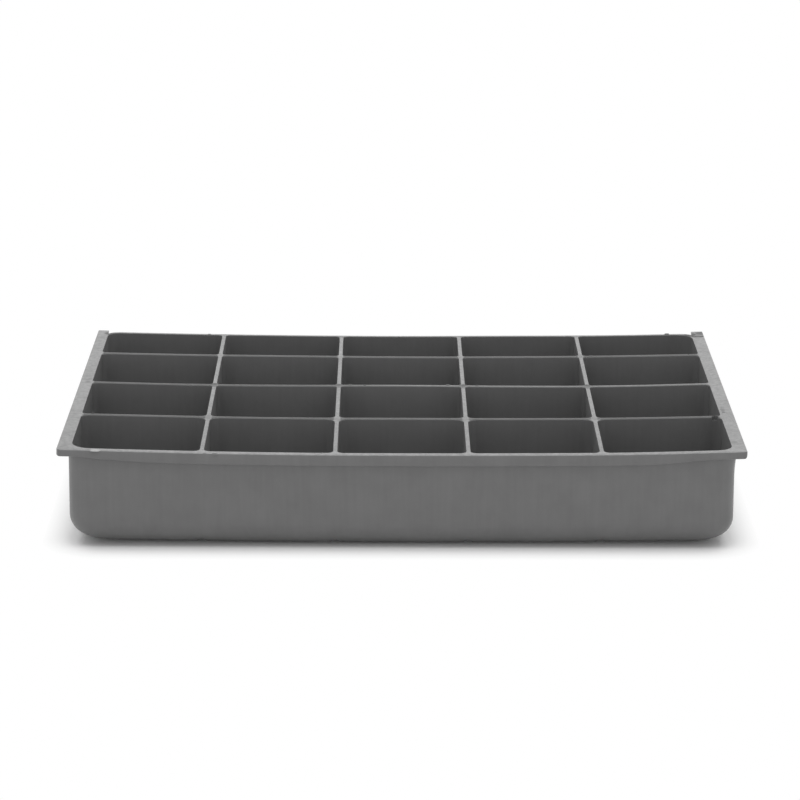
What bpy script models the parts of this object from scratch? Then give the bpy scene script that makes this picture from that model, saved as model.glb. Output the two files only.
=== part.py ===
"""Compartment tray insert for a drawer: open compartments moulded in grey polypropylene.

The real tray is one moulding. Here each of its members is a solid of its own: the tub, the
two side flanges, the long dividers from front to back, and the cross walls between them.
They meet face to face with a fine clearance, where the moulding runs through.

Units are metres and +Z is up. +X runs along the width, and the front is at -Y. The origin
is on the underside, at the middle of the overall width and depth.
"""
import math

import bmesh
import bpy

# Compartments: clear sizes between the walls at the top
COLUMNS = 5
ROWS = 4
CELL_WIDTH = 0.0628
END_CELL_WIDTH = 0.0629
CELL_DEPTH = 0.0577
BACK_CELL_DEPTH = 0.0409
CELL_CORNER_RADIUS = 0.0022
CELL_FOOT_RADIUS = 0.0030

# Tub: the outer walls and the floor
HEIGHT = 0.0500
WALL = 0.0017
FRONT_WALL = 0.0028
FLOOR = 0.0020
FRONT_CORNER_RADIUS = 0.0100
BACK_CORNER_RADIUS = 0.0095
FOOT_RADIUS = 0.0140
WALL_DRAFT = math.radians(1.0)

# Dividers: the long ones and the cross walls are as thick at the top
DIVIDER = 0.0020
DIVIDER_DRAFT = math.radians(0.5)
DIVIDER_EDGE = 0.0004

# Rim: the side flanges, and the band that stiffens the front edge
FLANGE_REACH = 0.0047
FLANGE_THICKNESS = 0.0030
FLANGE_TAIL = 0.0019
FLANGE_TOP_EDGE = 0.0005
FLANGE_LOWER_EDGE = 0.0010
EAR_CORNER_RADIUS = 0.0016
BAND_HEIGHT = 0.0060
BAND_PROUD = 0.0016
BAND_END_RISE = 0.0250

# Grooves under the floor, one below each wall that divides the compartments
GROOVE_DEPTH = 0.0010
GROOVE_WIDTH = 0.0050
GROOVE_REACH = math.radians(60.0)

# Clearance between members that the real moulding joins
CLEARANCE = 0.0003

# Facets of the round shapes
CORNER_STEPS = 6
FOOT_STEPS = 6
CELL_CORNER_STEPS = 3
CELL_FOOT_STEPS = 3
EDGE_STEPS = 3

# Past a face that a cutter has to go through
CUT_MARGIN = 0.0010

# Plan, worked out from the compartments outwards
GRID_WIDTH = (COLUMNS - 2) * CELL_WIDTH + 2 * END_CELL_WIDTH + (COLUMNS - 1) * DIVIDER
GRID_DEPTH = (ROWS - 1) * (CELL_DEPTH + DIVIDER) + BACK_CELL_DEPTH
OVERALL_WIDTH = GRID_WIDTH + 2 * WALL + 2 * FLANGE_REACH
OVERALL_DEPTH = BAND_PROUD + FRONT_WALL + GRID_DEPTH + WALL + FLANGE_TAIL
RIM_FRONT = -OVERALL_DEPTH / 2
RIM_SIDE = OVERALL_WIDTH / 2
BODY_FRONT = RIM_FRONT + BAND_PROUD
BODY_SIDE = GRID_WIDTH / 2 + WALL
GRID_SIDE = GRID_WIDTH / 2
GRID_FRONT = BODY_FRONT + FRONT_WALL
GRID_BACK = GRID_FRONT + GRID_DEPTH
BODY_BACK = GRID_BACK + WALL
CAVITY_FOOT_RADIUS = FOOT_RADIUS - WALL
EAR_BACK = BODY_FRONT + FRONT_CORNER_RADIUS


def foot(z, bottom, radius):
    """How far a rounded foot of this radius stands in from its wall at height z."""
    rise = bottom + radius - z
    if rise <= 0:
        return 0.0
    return radius - math.sqrt(max(radius * radius - rise * rise, 0.0))


def foot_levels(bottom, radius, steps):
    """Heights at equal angles round a foot, from its lowest line up to the wall."""
    quarter = math.pi / 2
    return [bottom + radius * (1 - math.cos(quarter * i / steps)) for i in range(steps + 1)]


def body_inset(z):
    """How far the tub's outer faces stand in at height z from where they are at the top."""
    return (HEIGHT - z) * math.tan(WALL_DRAFT) + foot(z, 0.0, FOOT_RADIUS)


def cavity_inset(z, clearance=0.0):
    """The same for the tub's inner faces, or for what stands this far off them."""
    draft = (HEIGHT - z) * math.tan(WALL_DRAFT)
    return draft + clearance + foot(z, FLOOR + clearance, CAVITY_FOOT_RADIUS - clearance)


def divider_half(z, clearance=0.0):
    """Half the thickness of a divider at height z, or of what stands this far off it."""
    top_edge = foot(HEIGHT - z, 0.0, DIVIDER_EDGE)
    draft = (HEIGHT - z) * math.tan(DIVIDER_DRAFT)
    rounding = foot(z, FLOOR + clearance, CELL_FOOT_RADIUS - clearance) - top_edge
    return DIVIDER / 2 + draft + clearance + rounding


def divider_levels():
    """Heights of a divider's outlines, from just above the floor to its top."""
    lowest = FLOOR + CLEARANCE
    levels = foot_levels(FLOOR, CELL_FOOT_RADIUS, CELL_FOOT_STEPS)
    levels += foot_levels(FLOOR, CAVITY_FOOT_RADIUS, FOOT_STEPS)
    levels = [z for z in levels if z > lowest + CLEARANCE]
    levels += [lowest, HEIGHT - DIVIDER_EDGE, HEIGHT]
    return sorted(set(levels))


def rounded_rectangle(left, right, front, back, front_radius, back_radius, z):
    """An outline at height z, anticlockwise from the front left corner."""
    front_line = front + front_radius
    back_line = back - back_radius
    corners = (
        (left + front_radius, front_line, front_radius, math.pi),
        (right - front_radius, front_line, front_radius, 1.5 * math.pi),
        (right - back_radius, back_line, back_radius, 0.0),
        (left + back_radius, back_line, back_radius, 0.5 * math.pi),
    )
    outline = []
    for x, y, radius, start in corners:
        for i in range(CORNER_STEPS + 1):
            angle = start + 0.5 * math.pi * i / CORNER_STEPS
            outline.append((x + radius * math.cos(angle), y + radius * math.sin(angle), z))
    return outline


def bar_outline(start, end, half, fillet, z):
    """Plan of a straight wall, anticlockwise as (along, across, z), with filleted ends."""
    corners = (
        (start + fillet, -1, math.pi, -1),
        (end - fillet, -1, 0.5 * math.pi, -1),
        (end - fillet, 1, 0.0, -1),
        (start + fillet, 1, 1.5 * math.pi, -1),
    )
    outline = []
    for along, side, angle, turn in corners:
        for i in range(CELL_CORNER_STEPS + 1):
            bend = angle + turn * 0.5 * math.pi * i / CELL_CORNER_STEPS
            across = side * (half + fillet) + fillet * math.sin(bend)
            outline.append((along + fillet * math.cos(bend), across, z))
    return outline


def rim_edge():
    """Points (inset, height) up the rim's outer side, round its lower and its upper edge."""
    edges = (
        (FLANGE_LOWER_EDGE, HEIGHT - FLANGE_THICKNESS + FLANGE_LOWER_EDGE, 1.5 * math.pi),
        (FLANGE_TOP_EDGE, HEIGHT - FLANGE_TOP_EDGE, 0.0),
    )
    points = []
    for radius, centre, start in edges:
        for i in range(EDGE_STEPS + 1):
            angle = start + 0.5 * math.pi * i / EDGE_STEPS
            points.append((radius - radius * math.cos(angle), centre + radius * math.sin(angle)))
    return points


def ear_outline(inset, z):
    """Plan of the front rim at height z: rounded front corners, and a straight back."""
    side = RIM_SIDE - inset
    radius = EAR_CORNER_RADIUS
    outline = [(-side, EAR_BACK, z)]
    for x, start in ((radius - side, math.pi), (side - radius, 1.5 * math.pi)):
        for i in range(EDGE_STEPS + 1):
            angle = start + 0.5 * math.pi * i / EDGE_STEPS
            y = RIM_FRONT + inset + radius + radius * math.sin(angle)
            outline.append((x + radius * math.cos(angle), y, z))
    outline.append((side, EAR_BACK, z))
    return outline


def add_object(name, mesh, material):
    """A new object at the origin with this mesh and material."""
    piece = bpy.data.objects.new(name, mesh)
    bpy.context.collection.objects.link(piece)
    if material:
        mesh.materials.append(material)
        mesh.shade_smooth()
        mesh.set_sharp_from_angle(angle=math.radians(30))
    return piece


def skin(name, rings, material=None):
    """A closed solid whose surface runs through outlines of as many points each."""
    mesh = bpy.data.meshes.new(name)
    shape = bmesh.new()
    loops = [[shape.verts.new(point) for point in ring] for ring in rings]
    shape.faces.new(list(reversed(loops[0])))
    shape.faces.new(loops[-1])
    for lower, upper in zip(loops, loops[1:]):
        for i, corner in enumerate(lower):
            following = (i + 1) % len(lower)
            shape.faces.new((corner, lower[following], upper[following], upper[i]))
    bmesh.ops.recalc_face_normals(shape, faces=shape.faces)
    shape.to_mesh(mesh)
    shape.free()
    return add_object(name, mesh, material)


def combine(piece, tool, operation):
    """Adds or cuts with another solid, which stays in the file as a hidden tool."""
    tool.hide_render = True
    tool.display_type = "WIRE"
    step = piece.modifiers.new(tool.name, "BOOLEAN")
    step.operation = operation
    step.solver = "EXACT"
    step.object = tool


def groove_path(low_side, high_side):
    """Points (place, height, slope, depth) of a groove along the tub's rounded underside."""
    steps = CELL_FOOT_STEPS + 1
    angles = [GROOVE_REACH * (1 - i / steps) for i in range(steps + 1)]
    path = []
    for angle in angles:
        z = FOOT_RADIUS * (1 - math.cos(angle))
        depth = (GROOVE_DEPTH + CLEARANCE) * (1 - angle / GROOVE_REACH) - CLEARANCE
        path.append((low_side + body_inset(z), z, -angle, depth))
    for place, z, slope, depth in reversed(path[:]):
        path.append((high_side - (place - low_side), z, -slope, depth))
    return path


def groove_rings(path, centre, lengthwise):
    """Three-cornered sections of a groove cutter, its tip in the floor and its back outside."""
    outside = CUT_MARGIN
    half = 0.5 * GROOVE_WIDTH * (GROOVE_DEPTH + outside) / GROOVE_DEPTH
    rings = []
    for place, z, slope, depth in path:
        out_along = math.sin(slope)
        out_up = -math.cos(slope)
        section = (
            (place + outside * out_along, centre - half, z + outside * out_up),
            (place + outside * out_along, centre + half, z + outside * out_up),
            (place - depth * out_along, centre, z - depth * out_up),
        )
        if lengthwise:
            section = [(across, along, up) for along, across, up in section]
        rings.append(section)
    return rings


def join_meshes(name, pieces):
    """One cutter from several that don't touch each other."""
    shape = bmesh.new()
    for piece in pieces:
        shape.from_mesh(piece.data)
        bpy.data.objects.remove(piece)
    mesh = bpy.data.meshes.new(name)
    shape.to_mesh(mesh)
    shape.free()
    return add_object(name, mesh, None)


def divider_centres():
    """Middle lines of the long dividers, from left to right."""
    first = -GRID_SIDE + END_CELL_WIDTH + DIVIDER / 2
    return [first + i * (CELL_WIDTH + DIVIDER) for i in range(COLUMNS - 1)]


def cross_centres():
    """Middle lines of the cross walls, from front to back."""
    first = GRID_FRONT + CELL_DEPTH + DIVIDER / 2
    return [first + i * (CELL_DEPTH + DIVIDER) for i in range(ROWS - 1)]


def build_tub(material):
    """Walls, floor and front rim: a drafted shell with a rolled foot, cut out inside."""
    rings = []
    for z in foot_levels(0.0, FOOT_RADIUS, FOOT_STEPS) + [HEIGHT]:
        inset = body_inset(z)
        rings.append(rounded_rectangle(
            -BODY_SIDE + inset, BODY_SIDE - inset, BODY_FRONT + inset, BODY_BACK - inset,
            FRONT_CORNER_RADIUS, BACK_CORNER_RADIUS, z))
    tub = skin("tub", rings, material)

    # The ears square off the front corners, and the flanges carry on behind them
    ears = skin("front_ears", [ear_outline(inset, z) for inset, z in rim_edge()])
    combine(tub, ears, "UNION")

    # The band below the ears is deepest between the rounded corners
    band_low = HEIGHT - BAND_HEIGHT
    band_top = HEIGHT - FLANGE_THICKNESS / 2
    band_end = HEIGHT - FLANGE_THICKNESS + FLANGE_LOWER_EDGE
    band_side = BODY_SIDE - FRONT_CORNER_RADIUS
    flat_side = band_side - BAND_END_RISE
    face = (
        (-band_side, band_end), (-flat_side, band_low), (flat_side, band_low),
        (band_side, band_end), (band_side, band_top), (-band_side, band_top),
    )
    depths = (RIM_FRONT, BODY_FRONT + FRONT_WALL / 2)
    band = skin("front_band", [[(x, y, z) for x, z in face] for y in depths])
    combine(tub, band, "UNION")

    rings = []
    for z in foot_levels(FLOOR, CAVITY_FOOT_RADIUS, FOOT_STEPS) + [HEIGHT + CUT_MARGIN]:
        inset = cavity_inset(z)
        rings.append(rounded_rectangle(
            -GRID_SIDE + inset, GRID_SIDE - inset, GRID_FRONT + inset, GRID_BACK - inset,
            FRONT_CORNER_RADIUS - WALL, BACK_CORNER_RADIUS - WALL, z))
    combine(tub, skin("tub_cavity", rings), "DIFFERENCE")

    lengthwise = groove_path(BODY_FRONT, BODY_BACK)
    crosswise = groove_path(-BODY_SIDE, BODY_SIDE)
    cutters = [skin("groove", groove_rings(lengthwise, x, True)) for x in divider_centres()]
    combine(tub, join_meshes("length_grooves", cutters), "DIFFERENCE")
    cutters = [skin("groove", groove_rings(crosswise, y, False)) for y in cross_centres()]
    combine(tub, join_meshes("cross_grooves", cutters), "DIFFERENCE")


def build_flange(name, side, material):
    """A flange strip: one rounded profile drawn along the side of the tub."""
    inner = BODY_SIDE + CLEARANCE
    low = HEIGHT - FLANGE_THICKNESS
    profile = [(inner, HEIGHT), (inner, low)]
    profile += [(RIM_SIDE - inset, z) for inset, z in rim_edge()]
    ends = (EAR_BACK + CLEARANCE, BODY_BACK + FLANGE_TAIL)
    skin(name, [[(side * x, y, z) for x, z in profile] for y in ends], material)


def build_long_divider(name, x, material):
    """A divider from the front wall to the back wall, with its ends on their inner faces."""
    rings = []
    for z in divider_levels():
        inset = cavity_inset(z, CLEARANCE)
        outline = bar_outline(
            GRID_FRONT + inset, GRID_BACK - inset, divider_half(z), CELL_CORNER_RADIUS, z)
        rings.append([(x - across, along, up) for along, across, up in outline])
    skin(name, rings, material)


def build_cross_wall(name, left, right, y, material):
    """A web between two ends, each given as a function of height."""
    rings = []
    for z in divider_levels():
        outline = bar_outline(left(z), right(z), divider_half(z), CELL_CORNER_RADIUS, z)
        rings.append([(along, y + across, up) for along, across, up in outline])
    skin(name, rings, material)


def build_cross_walls(material):
    """Every web, between the long dividers and between them and the side walls."""
    lefts = [lambda z: -GRID_SIDE + cavity_inset(z, CLEARANCE)]
    rights = []
    for centre in divider_centres():
        rights.append(lambda z, x=centre: x - divider_half(z, CLEARANCE))
        lefts.append(lambda z, x=centre: x + divider_half(z, CLEARANCE))
    rights.append(lambda z: GRID_SIDE - cavity_inset(z, CLEARANCE))
    for row, y in enumerate(cross_centres(), 1):
        for column, (left, right) in enumerate(zip(lefts, rights), 1):
            build_cross_wall(f"cross_wall_{row}_{column}", left, right, y, material)


def plastic():
    """Satin grey polypropylene."""
    material = bpy.data.materials.new("grey_polypropylene")
    material.use_nodes = True
    shader = material.node_tree.nodes["Principled BSDF"]
    shader.inputs["Base Color"].default_value = (0.105, 0.105, 0.105, 1.0)
    shader.inputs["Roughness"].default_value = 0.45
    shader.inputs["Metallic"].default_value = 0.0
    return material


for old in list(bpy.data.objects):
    bpy.data.objects.remove(old)

grey = plastic()
build_tub(grey)
build_flange("left_flange", -1, grey)
build_flange("right_flange", 1, grey)
for number, place in enumerate(divider_centres(), 1):
    build_long_divider(f"long_divider_{number}", place, grey)
build_cross_walls(grey)
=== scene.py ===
import math

import bmesh
import bpy
from mathutils import Matrix, Vector


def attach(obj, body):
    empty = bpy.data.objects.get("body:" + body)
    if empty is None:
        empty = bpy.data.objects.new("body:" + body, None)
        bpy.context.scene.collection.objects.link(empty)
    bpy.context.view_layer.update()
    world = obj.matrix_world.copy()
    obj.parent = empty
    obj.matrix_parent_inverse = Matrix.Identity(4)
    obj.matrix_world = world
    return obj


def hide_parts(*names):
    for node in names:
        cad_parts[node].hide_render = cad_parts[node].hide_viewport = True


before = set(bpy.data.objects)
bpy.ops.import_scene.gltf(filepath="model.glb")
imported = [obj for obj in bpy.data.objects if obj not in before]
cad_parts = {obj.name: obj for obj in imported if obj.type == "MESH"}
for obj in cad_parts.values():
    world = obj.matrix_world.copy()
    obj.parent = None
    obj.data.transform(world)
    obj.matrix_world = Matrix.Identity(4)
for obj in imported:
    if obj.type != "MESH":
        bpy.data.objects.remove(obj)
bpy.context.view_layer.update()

# The moulding. The real tray is one shot of grey polypropylene, so it is modelled whole here,
# as a drafted block with a rolled foot, and only then cut into the members that the CAD names.
# Lengths are in metres, and every height is at the middle of the width, before the tray bows.
HEIGHT = 0.0488
FOOT = 0.0136
LEFT_FOOT = 0.0144
RIGHT_FOOT = 0.0132
CORNERS = (0.0100, 0.0100, 0.0105, 0.0085)
WALL_DRAFT = math.tan(math.radians(1.0))
BODY_SIDE = 0.1625
BODY_FRONT = -0.1126
BODY_BACK = 0.1124
RIGHT_FLARE = 0.0017
FLARE_HEIGHT = 0.0145
FLARE_STEPS = 4
FOOT_STEPS = 10
CORNER_STEPS = 8
# Lengths closer than HAIR count as the same.
HAIR = 0.00001


def pick(kind, wanted):
    """In edit mode, selects the vertices, edges or faces whose corners all pass the test."""
    bpy.ops.mesh.select_mode(type=kind)
    bpy.ops.mesh.select_all(action="DESELECT")
    shape = bmesh.from_edit_mesh(bpy.context.object.data)
    if kind == "VERT":
        for corner in shape.verts:
            corner.select_set(wanted(corner.co))
    else:
        for part in shape.edges if kind == "EDGE" else shape.faces:
            if all(wanted(corner.co) for corner in part.verts):
                part.select_set(True)
    bmesh.update_edit_mesh(bpy.context.object.data)


def near(a, b):
    """True where two lengths differ by less than a hair."""
    return abs(a - b) < HAIR


def quarter(height, radius):
    """How far a quarter round of this radius stands in, at this height below its straight."""
    if height <= 0:
        return 0.0
    return radius - math.sqrt(max(radius * radius - height * height, 0.0))


def foot_heights(low, radius, steps):
    """Heights at equal angles round a quarter round that starts at low."""
    return [low + radius * (1 - math.cos(math.pi / 2 * i / steps)) for i in range(steps + 1)]


def drawn_block(name, sides, radii, steps, heights):
    """A plate with rounded corners, drawn up height by height while its four sides move."""
    left, right, front, back = sides(heights[0])
    middle_x = (left + right) / 2
    middle_y = (front + back) / 2
    bpy.ops.object.select_all(action="DESELECT")
    bpy.ops.mesh.primitive_plane_add(size=1, location=(middle_x, middle_y, heights[0]))
    block = bpy.context.object
    block.name = name
    block.scale = (right - left, back - front, 1)
    bpy.ops.object.transform_apply(location=True, rotation=True, scale=True)
    bpy.ops.object.mode_set(mode="EDIT")
    corners = ((left, front), (right, front), (right, back), (left, back))
    for (x, y), radius in zip(corners, radii):
        pick("VERT", lambda p: near(p.x, x) and near(p.y, y))
        bpy.ops.mesh.bevel(affect="VERTICES", offset=radius, segments=steps)
    bpy.ops.mesh.select_mode(type="FACE")
    bpy.ops.mesh.select_all(action="SELECT")
    for low, high in zip(heights, heights[1:]):
        bpy.ops.mesh.extrude_region_move(TRANSFORM_OT_translate={"value": (0, 0, high - low)})
        moves = [after - before for before, after in zip(sides(low), sides(high))]
        for leftward in (True, False):
            for frontward in (True, False):
                pick("VERT", lambda p: near(p.z, high) and (p.x < middle_x) == leftward
                     and (p.y < middle_y) == frontward)
                across = moves[0] if leftward else moves[1]
                along = moves[2] if frontward else moves[3]
                bpy.ops.transform.translate(value=(across, along, 0))
        pick("FACE", lambda p: near(p.z, high))
    bpy.ops.mesh.select_all(action="SELECT")
    bpy.ops.mesh.normals_make_consistent(inside=False)
    bpy.ops.object.mode_set(mode="OBJECT")
    return block


def body_inset(z, foot=FOOT):
    """How far an outer wall stands in at height z, by its draft and its rolled foot."""
    return (HEIGHT - z) * WALL_DRAFT + quarter(foot - z, foot)


def body_sides(z):
    """The outer walls at height z: left, right, front and back. The right one flares."""
    inset = body_inset(z)
    flare = RIGHT_FLARE * max(0.0, 1 - (HEIGHT - z) / FLARE_HEIGHT) ** 2
    return (-BODY_SIDE + body_inset(z, LEFT_FOOT), BODY_SIDE - body_inset(z, RIGHT_FOOT) + flare,
            BODY_FRONT + inset, BODY_BACK - inset)


flare_heights = [HEIGHT - FLARE_HEIGHT * (1 - step / FLARE_STEPS)
                 for step in range(FLARE_STEPS + 1)]
moulding = drawn_block("moulding", body_sides, CORNERS, CORNER_STEPS,
                       foot_heights(0.0, FOOT, FOOT_STEPS) + flare_heights)

# The rim. A thin plate flush with the top makes a strip past the front wall and a flange down
# each side, thicker on the right and rounded along its lower edge. Below the strip hangs a
# band, deepest along the middle.
RIM_SIDE = 0.1675
RIM_FRONT = -0.1142
RIM_BACK = 0.1156
PLATE = 0.0025
LEFT_PLATE = 0.0034
RIGHT_PLATE = 0.0036
FLANGE_WIDE = 0.0070
STRIP_INNER = 0.1614
STRIP_BACK = -0.1030
OPENING_LOW = 0.0300
OPENING_HIGH = 0.0600
OPENING_BACK = 0.1300
LEFT_ROUND = 0.0020
RIGHT_ROUND = 0.0014
REAR_ROUND = 0.0006
UPPER_WEAR = 0.0003
LOWER_WEAR = 0.0005
CORNER_REACH = 0.0021
REAR_REACH = 0.0013
LEFT_REAR_PLACE = 0.0012
LEFT_REAR_SHIFT = 0.0004
LEFT_FRONT_PLACE = 0.0024
LEFT_FRONT_SHIFT = 0.0003
ROUNDED_WIDE = 0.0016
ROUNDED_HIGH = 0.0024
ROLLER_LENGTH = 0.3000
# A cutter stands PAST beyond what it cuts.
PAST = 0.0010
BAND_BACK = -0.1116
BAND_LINE = (
    (-0.1575, 0.0033), (-0.1450, 0.0044), (-0.1250, 0.0053), (-0.1050, 0.0056),
    (0.1180, 0.0056), (0.1300, 0.0052), (0.1400, 0.0044), (0.1500, 0.0036),
)


def only(piece):
    """Selects this object and nothing else."""
    bpy.ops.object.select_all(action="DESELECT")
    piece.select_set(True)
    bpy.context.view_layer.objects.active = piece


def box(name, low, high):
    """A plain block between two corners, as a start for shaping."""
    bpy.ops.object.select_all(action="DESELECT")
    centre = [(a + b) / 2 for a, b in zip(low, high)]
    bpy.ops.mesh.primitive_cube_add(size=1, location=centre)
    block = bpy.context.object
    block.name = name
    block.scale = [b - a for a, b in zip(low, high)]
    bpy.ops.object.transform_apply(location=True, rotation=True, scale=True)
    return block


def combine(piece, tool, operation, keep=False):
    """Adds a solid, cuts it out or keeps what both cover, then drops it unless keep is set."""
    only(piece)
    step = piece.modifiers.new(operation.lower(), "BOOLEAN")
    step.operation = operation
    step.solver = "MANIFOLD"
    step.object = tool
    bpy.ops.object.modifier_apply(modifier=step.name)
    if not keep:
        bpy.data.objects.remove(tool)


plate = box("rim_plate", (-RIM_SIDE, RIM_FRONT, HEIGHT - PLATE), (RIM_SIDE, RIM_BACK, HEIGHT))
opening = box("rim_opening", (-STRIP_INNER, STRIP_BACK, OPENING_LOW),
              (STRIP_INNER, OPENING_BACK, OPENING_HIGH))
combine(plate, opening, "DIFFERENCE")
only(plate)
bpy.ops.object.mode_set(mode="EDIT")
bpy.ops.mesh.select_all(action="SELECT")
bpy.ops.mesh.bisect(plane_co=(0, BAND_BACK, 0), plane_no=(0, 1, 0))
for place, _ in BAND_LINE:
    bpy.ops.mesh.select_all(action="SELECT")
    bpy.ops.mesh.bisect(plane_co=(place, 0, 0), plane_no=(1, 0, 0))
plate_low = HEIGHT - PLATE
pick("VERT", lambda p: near(p.z, plate_low) and p.x > RIM_SIDE - FLANGE_WIDE)
bpy.ops.transform.translate(value=(0, 0, PLATE - RIGHT_PLATE))
pick("VERT", lambda p: near(p.z, plate_low) and p.x < -RIM_SIDE + FLANGE_WIDE)
bpy.ops.transform.translate(value=(0, 0, PLATE - LEFT_PLATE))
for place, depth in BAND_LINE:
    pick("VERT", lambda p: near(p.z, plate_low) and near(p.x, place) and p.y < BAND_BACK + HAIR)
    bpy.ops.transform.translate(value=(0, 0, PLATE - depth))
pick("EDGE", lambda p: near(p.x, -RIM_SIDE) and near(p.y, RIM_FRONT))
bpy.ops.mesh.bevel(offset=LEFT_ROUND, segments=6)
pick("EDGE", lambda p: near(p.x, RIM_SIDE) and near(p.y, RIM_FRONT))
bpy.ops.mesh.bevel(offset=RIGHT_ROUND, segments=5)
pick("EDGE", lambda p: near(abs(p.x), RIM_SIDE) and near(p.y, RIM_BACK))
bpy.ops.mesh.bevel(offset=REAR_ROUND, segments=3)


def on_rim(p):
    """True along the outer sides of the rim, and round its corners."""
    straight = near(abs(p.x), RIM_SIDE) or near(p.y, RIM_FRONT) or near(p.y, RIM_BACK)
    at_end = p.y < RIM_FRONT + CORNER_REACH or p.y > RIM_BACK - REAR_REACH
    return straight or (at_end and abs(p.x) > RIM_SIDE - CORNER_REACH)


pick("EDGE", lambda p: near(p.z, HEIGHT) and on_rim(p))
bpy.ops.mesh.bevel(offset=UPPER_WEAR, segments=3)
pick("EDGE", lambda p: p.z < plate_low + HAIR and on_rim(p))
bpy.ops.mesh.bevel(offset=LOWER_WEAR, segments=4)
pick("VERT", lambda p: p.x < -RIM_SIDE + LEFT_REAR_PLACE and p.y > RIM_BACK - REAR_REACH)
bpy.ops.transform.translate(value=(LEFT_REAR_SHIFT, 0, 0))
pick("VERT", lambda p: p.x < -RIM_SIDE + LEFT_FRONT_PLACE and p.y < RIM_FRONT + LEFT_FRONT_PLACE)
bpy.ops.transform.translate(value=(LEFT_FRONT_SHIFT, 0, 0))
bpy.ops.object.mode_set(mode="OBJECT")
corner_low = HEIGHT - RIGHT_PLATE
round_off = box("round_off", (RIM_SIDE - ROUNDED_WIDE, RIM_FRONT - PAST, corner_low - PAST),
                (RIM_SIDE + PAST, RIM_BACK + PAST, corner_low + ROUNDED_HIGH))
bpy.ops.object.select_all(action="DESELECT")
bpy.ops.mesh.primitive_cylinder_add(
    vertices=48, radius=ROUNDED_WIDE, depth=ROLLER_LENGTH, rotation=(math.pi / 2, 0, 0),
    location=(RIM_SIDE - ROUNDED_WIDE - HAIR, 0, corner_low + ROUNDED_HIGH + HAIR))
roller = bpy.context.object
roller.scale.y = ROUNDED_HIGH / ROUNDED_WIDE
bpy.ops.object.transform_apply(location=True, rotation=True, scale=True)
combine(round_off, roller, "DIFFERENCE")
combine(plate, round_off, "DIFFERENCE")
combine(moulding, plate, "UNION")

# Under the floor a shallow round groove lies below each divider, where the plastic sinks as it
# cools. It runs out round the foot. Each cutter is a rod that is spun up and away at both ends.
GROOVE_ROD = 0.0036
GROOVE_SUNK = 0.0010
GROOVE_SWEEP = 0.0200
GROOVE_TURN = math.radians(54)
LONG_PLACES = (-0.0972, -0.0324, 0.0324, 0.0972)
CROSS_PLACES = (-0.0503, 0.0102, 0.0685)


def join(pieces):
    """Makes one object of several."""
    bpy.ops.object.select_all(action="DESELECT")
    for piece in pieces:
        piece.select_set(True)
    bpy.context.view_layer.objects.active = pieces[0]
    bpy.ops.object.join()
    return bpy.context.object


def groove_rod(lengthwise, place, start, end):
    """A rod below the floor from start to end, with both its ends spun up past the foot."""
    rod_z = GROOVE_SUNK - GROOVE_ROD
    # The two directions have unlike numbers of sides, so that no two edges meet where they cross.
    sides = 20 if lengthwise else 22
    bpy.ops.object.select_all(action="DESELECT")
    bpy.ops.mesh.primitive_cylinder_add(
        vertices=sides, radius=GROOVE_ROD, depth=end - start, location=(0, 0, 0),
        rotation=(math.pi / 2, 0, 0) if lengthwise else (0, math.pi / 2, 0))
    rod = bpy.context.object
    middle = (start + end) / 2
    rod.location = (place, middle, rod_z) if lengthwise else (middle, place, rod_z)
    bpy.ops.object.transform_apply(location=True, rotation=True, scale=True)
    bpy.ops.object.mode_set(mode="EDIT")
    for run_end, sense in ((start, 1), (end, -1)):
        if lengthwise:
            pick("FACE", lambda p: near(p.y, run_end))
            centre = (place, run_end, rod_z + GROOVE_SWEEP)
            axis = (sense, 0, 0)
        else:
            pick("FACE", lambda p: near(p.x, run_end))
            centre = (run_end, place, rod_z + GROOVE_SWEEP)
            axis = (0, -sense, 0)
        bpy.ops.mesh.spin(steps=6, angle=GROOVE_TURN, center=centre, axis=axis)
    bpy.ops.mesh.select_all(action="SELECT")
    bpy.ops.mesh.remove_doubles(threshold=0.000001)
    bpy.ops.mesh.normals_make_consistent(inside=False)
    bpy.ops.object.mode_set(mode="OBJECT")
    return rod


flat_front = BODY_FRONT + body_inset(0)
flat_back = BODY_BACK - body_inset(0)
flat_side = BODY_SIDE - body_inset(0)
combine(moulding, join([groove_rod(True, x, flat_front, flat_back) for x in LONG_PLACES]),
        "DIFFERENCE")
combine(moulding, join([groove_rod(False, y, -flat_side, flat_side) for y in CROSS_PLACES]),
        "DIFFERENCE")

# The compartments. A steel core leaves each one: drafted sides, a small radius up its corners,
# a larger one round its floor, and a worn edge at its mouth. Twelve cores make all twenty.
WALL = 0.0017
FRONT_WALL = 0.0028
FLOOR = 0.0020
DIVIDER = 0.0021
CROSS_WALL = 0.0027
DIVIDER_DRAFT = math.tan(math.radians(0.5))
# Corner radii at the front and the back of a compartment, for each row from the front.
CELL_CORNERS = ((0.0034, 0.0054), (0.0034, 0.0024), (0.0024, 0.0024), (0.0022, 0.0026))
LEFT_CORNERS = ((0.0094, 0.0044), (0.0020, 0.0032), (0.0020, 0.0036), (0.0022, 0.0068))
RIGHT_CORNERS = ((0.0072, 0.0044), (0.0020, 0.0032), (0.0020, 0.0036), (0.0022, 0.0088))
CELL_FOOT = 0.0030
CELL_FOOT_STEPS = 5
CAVITY_FOOT_STEPS = 8
CELL_CORNER_STEPS = 7
MOUTH = 0.0003
MOUTH_CUTS = (1.0, 0.6, 0.3, 0.1, 0.0)
WEB_MOUTH = 0.0005
WEB_MOUTH_CUTS = (1.0, 0.75)
BACK_WIDENS = 0.0002
GRID_LEFT = -BODY_SIDE + WALL
GRID_RIGHT = BODY_SIDE - WALL
GRID_FRONT = BODY_FRONT + FRONT_WALL
GRID_BACK = BODY_BACK - WALL
CAVITY_FOOT = FOOT - WALL


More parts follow.
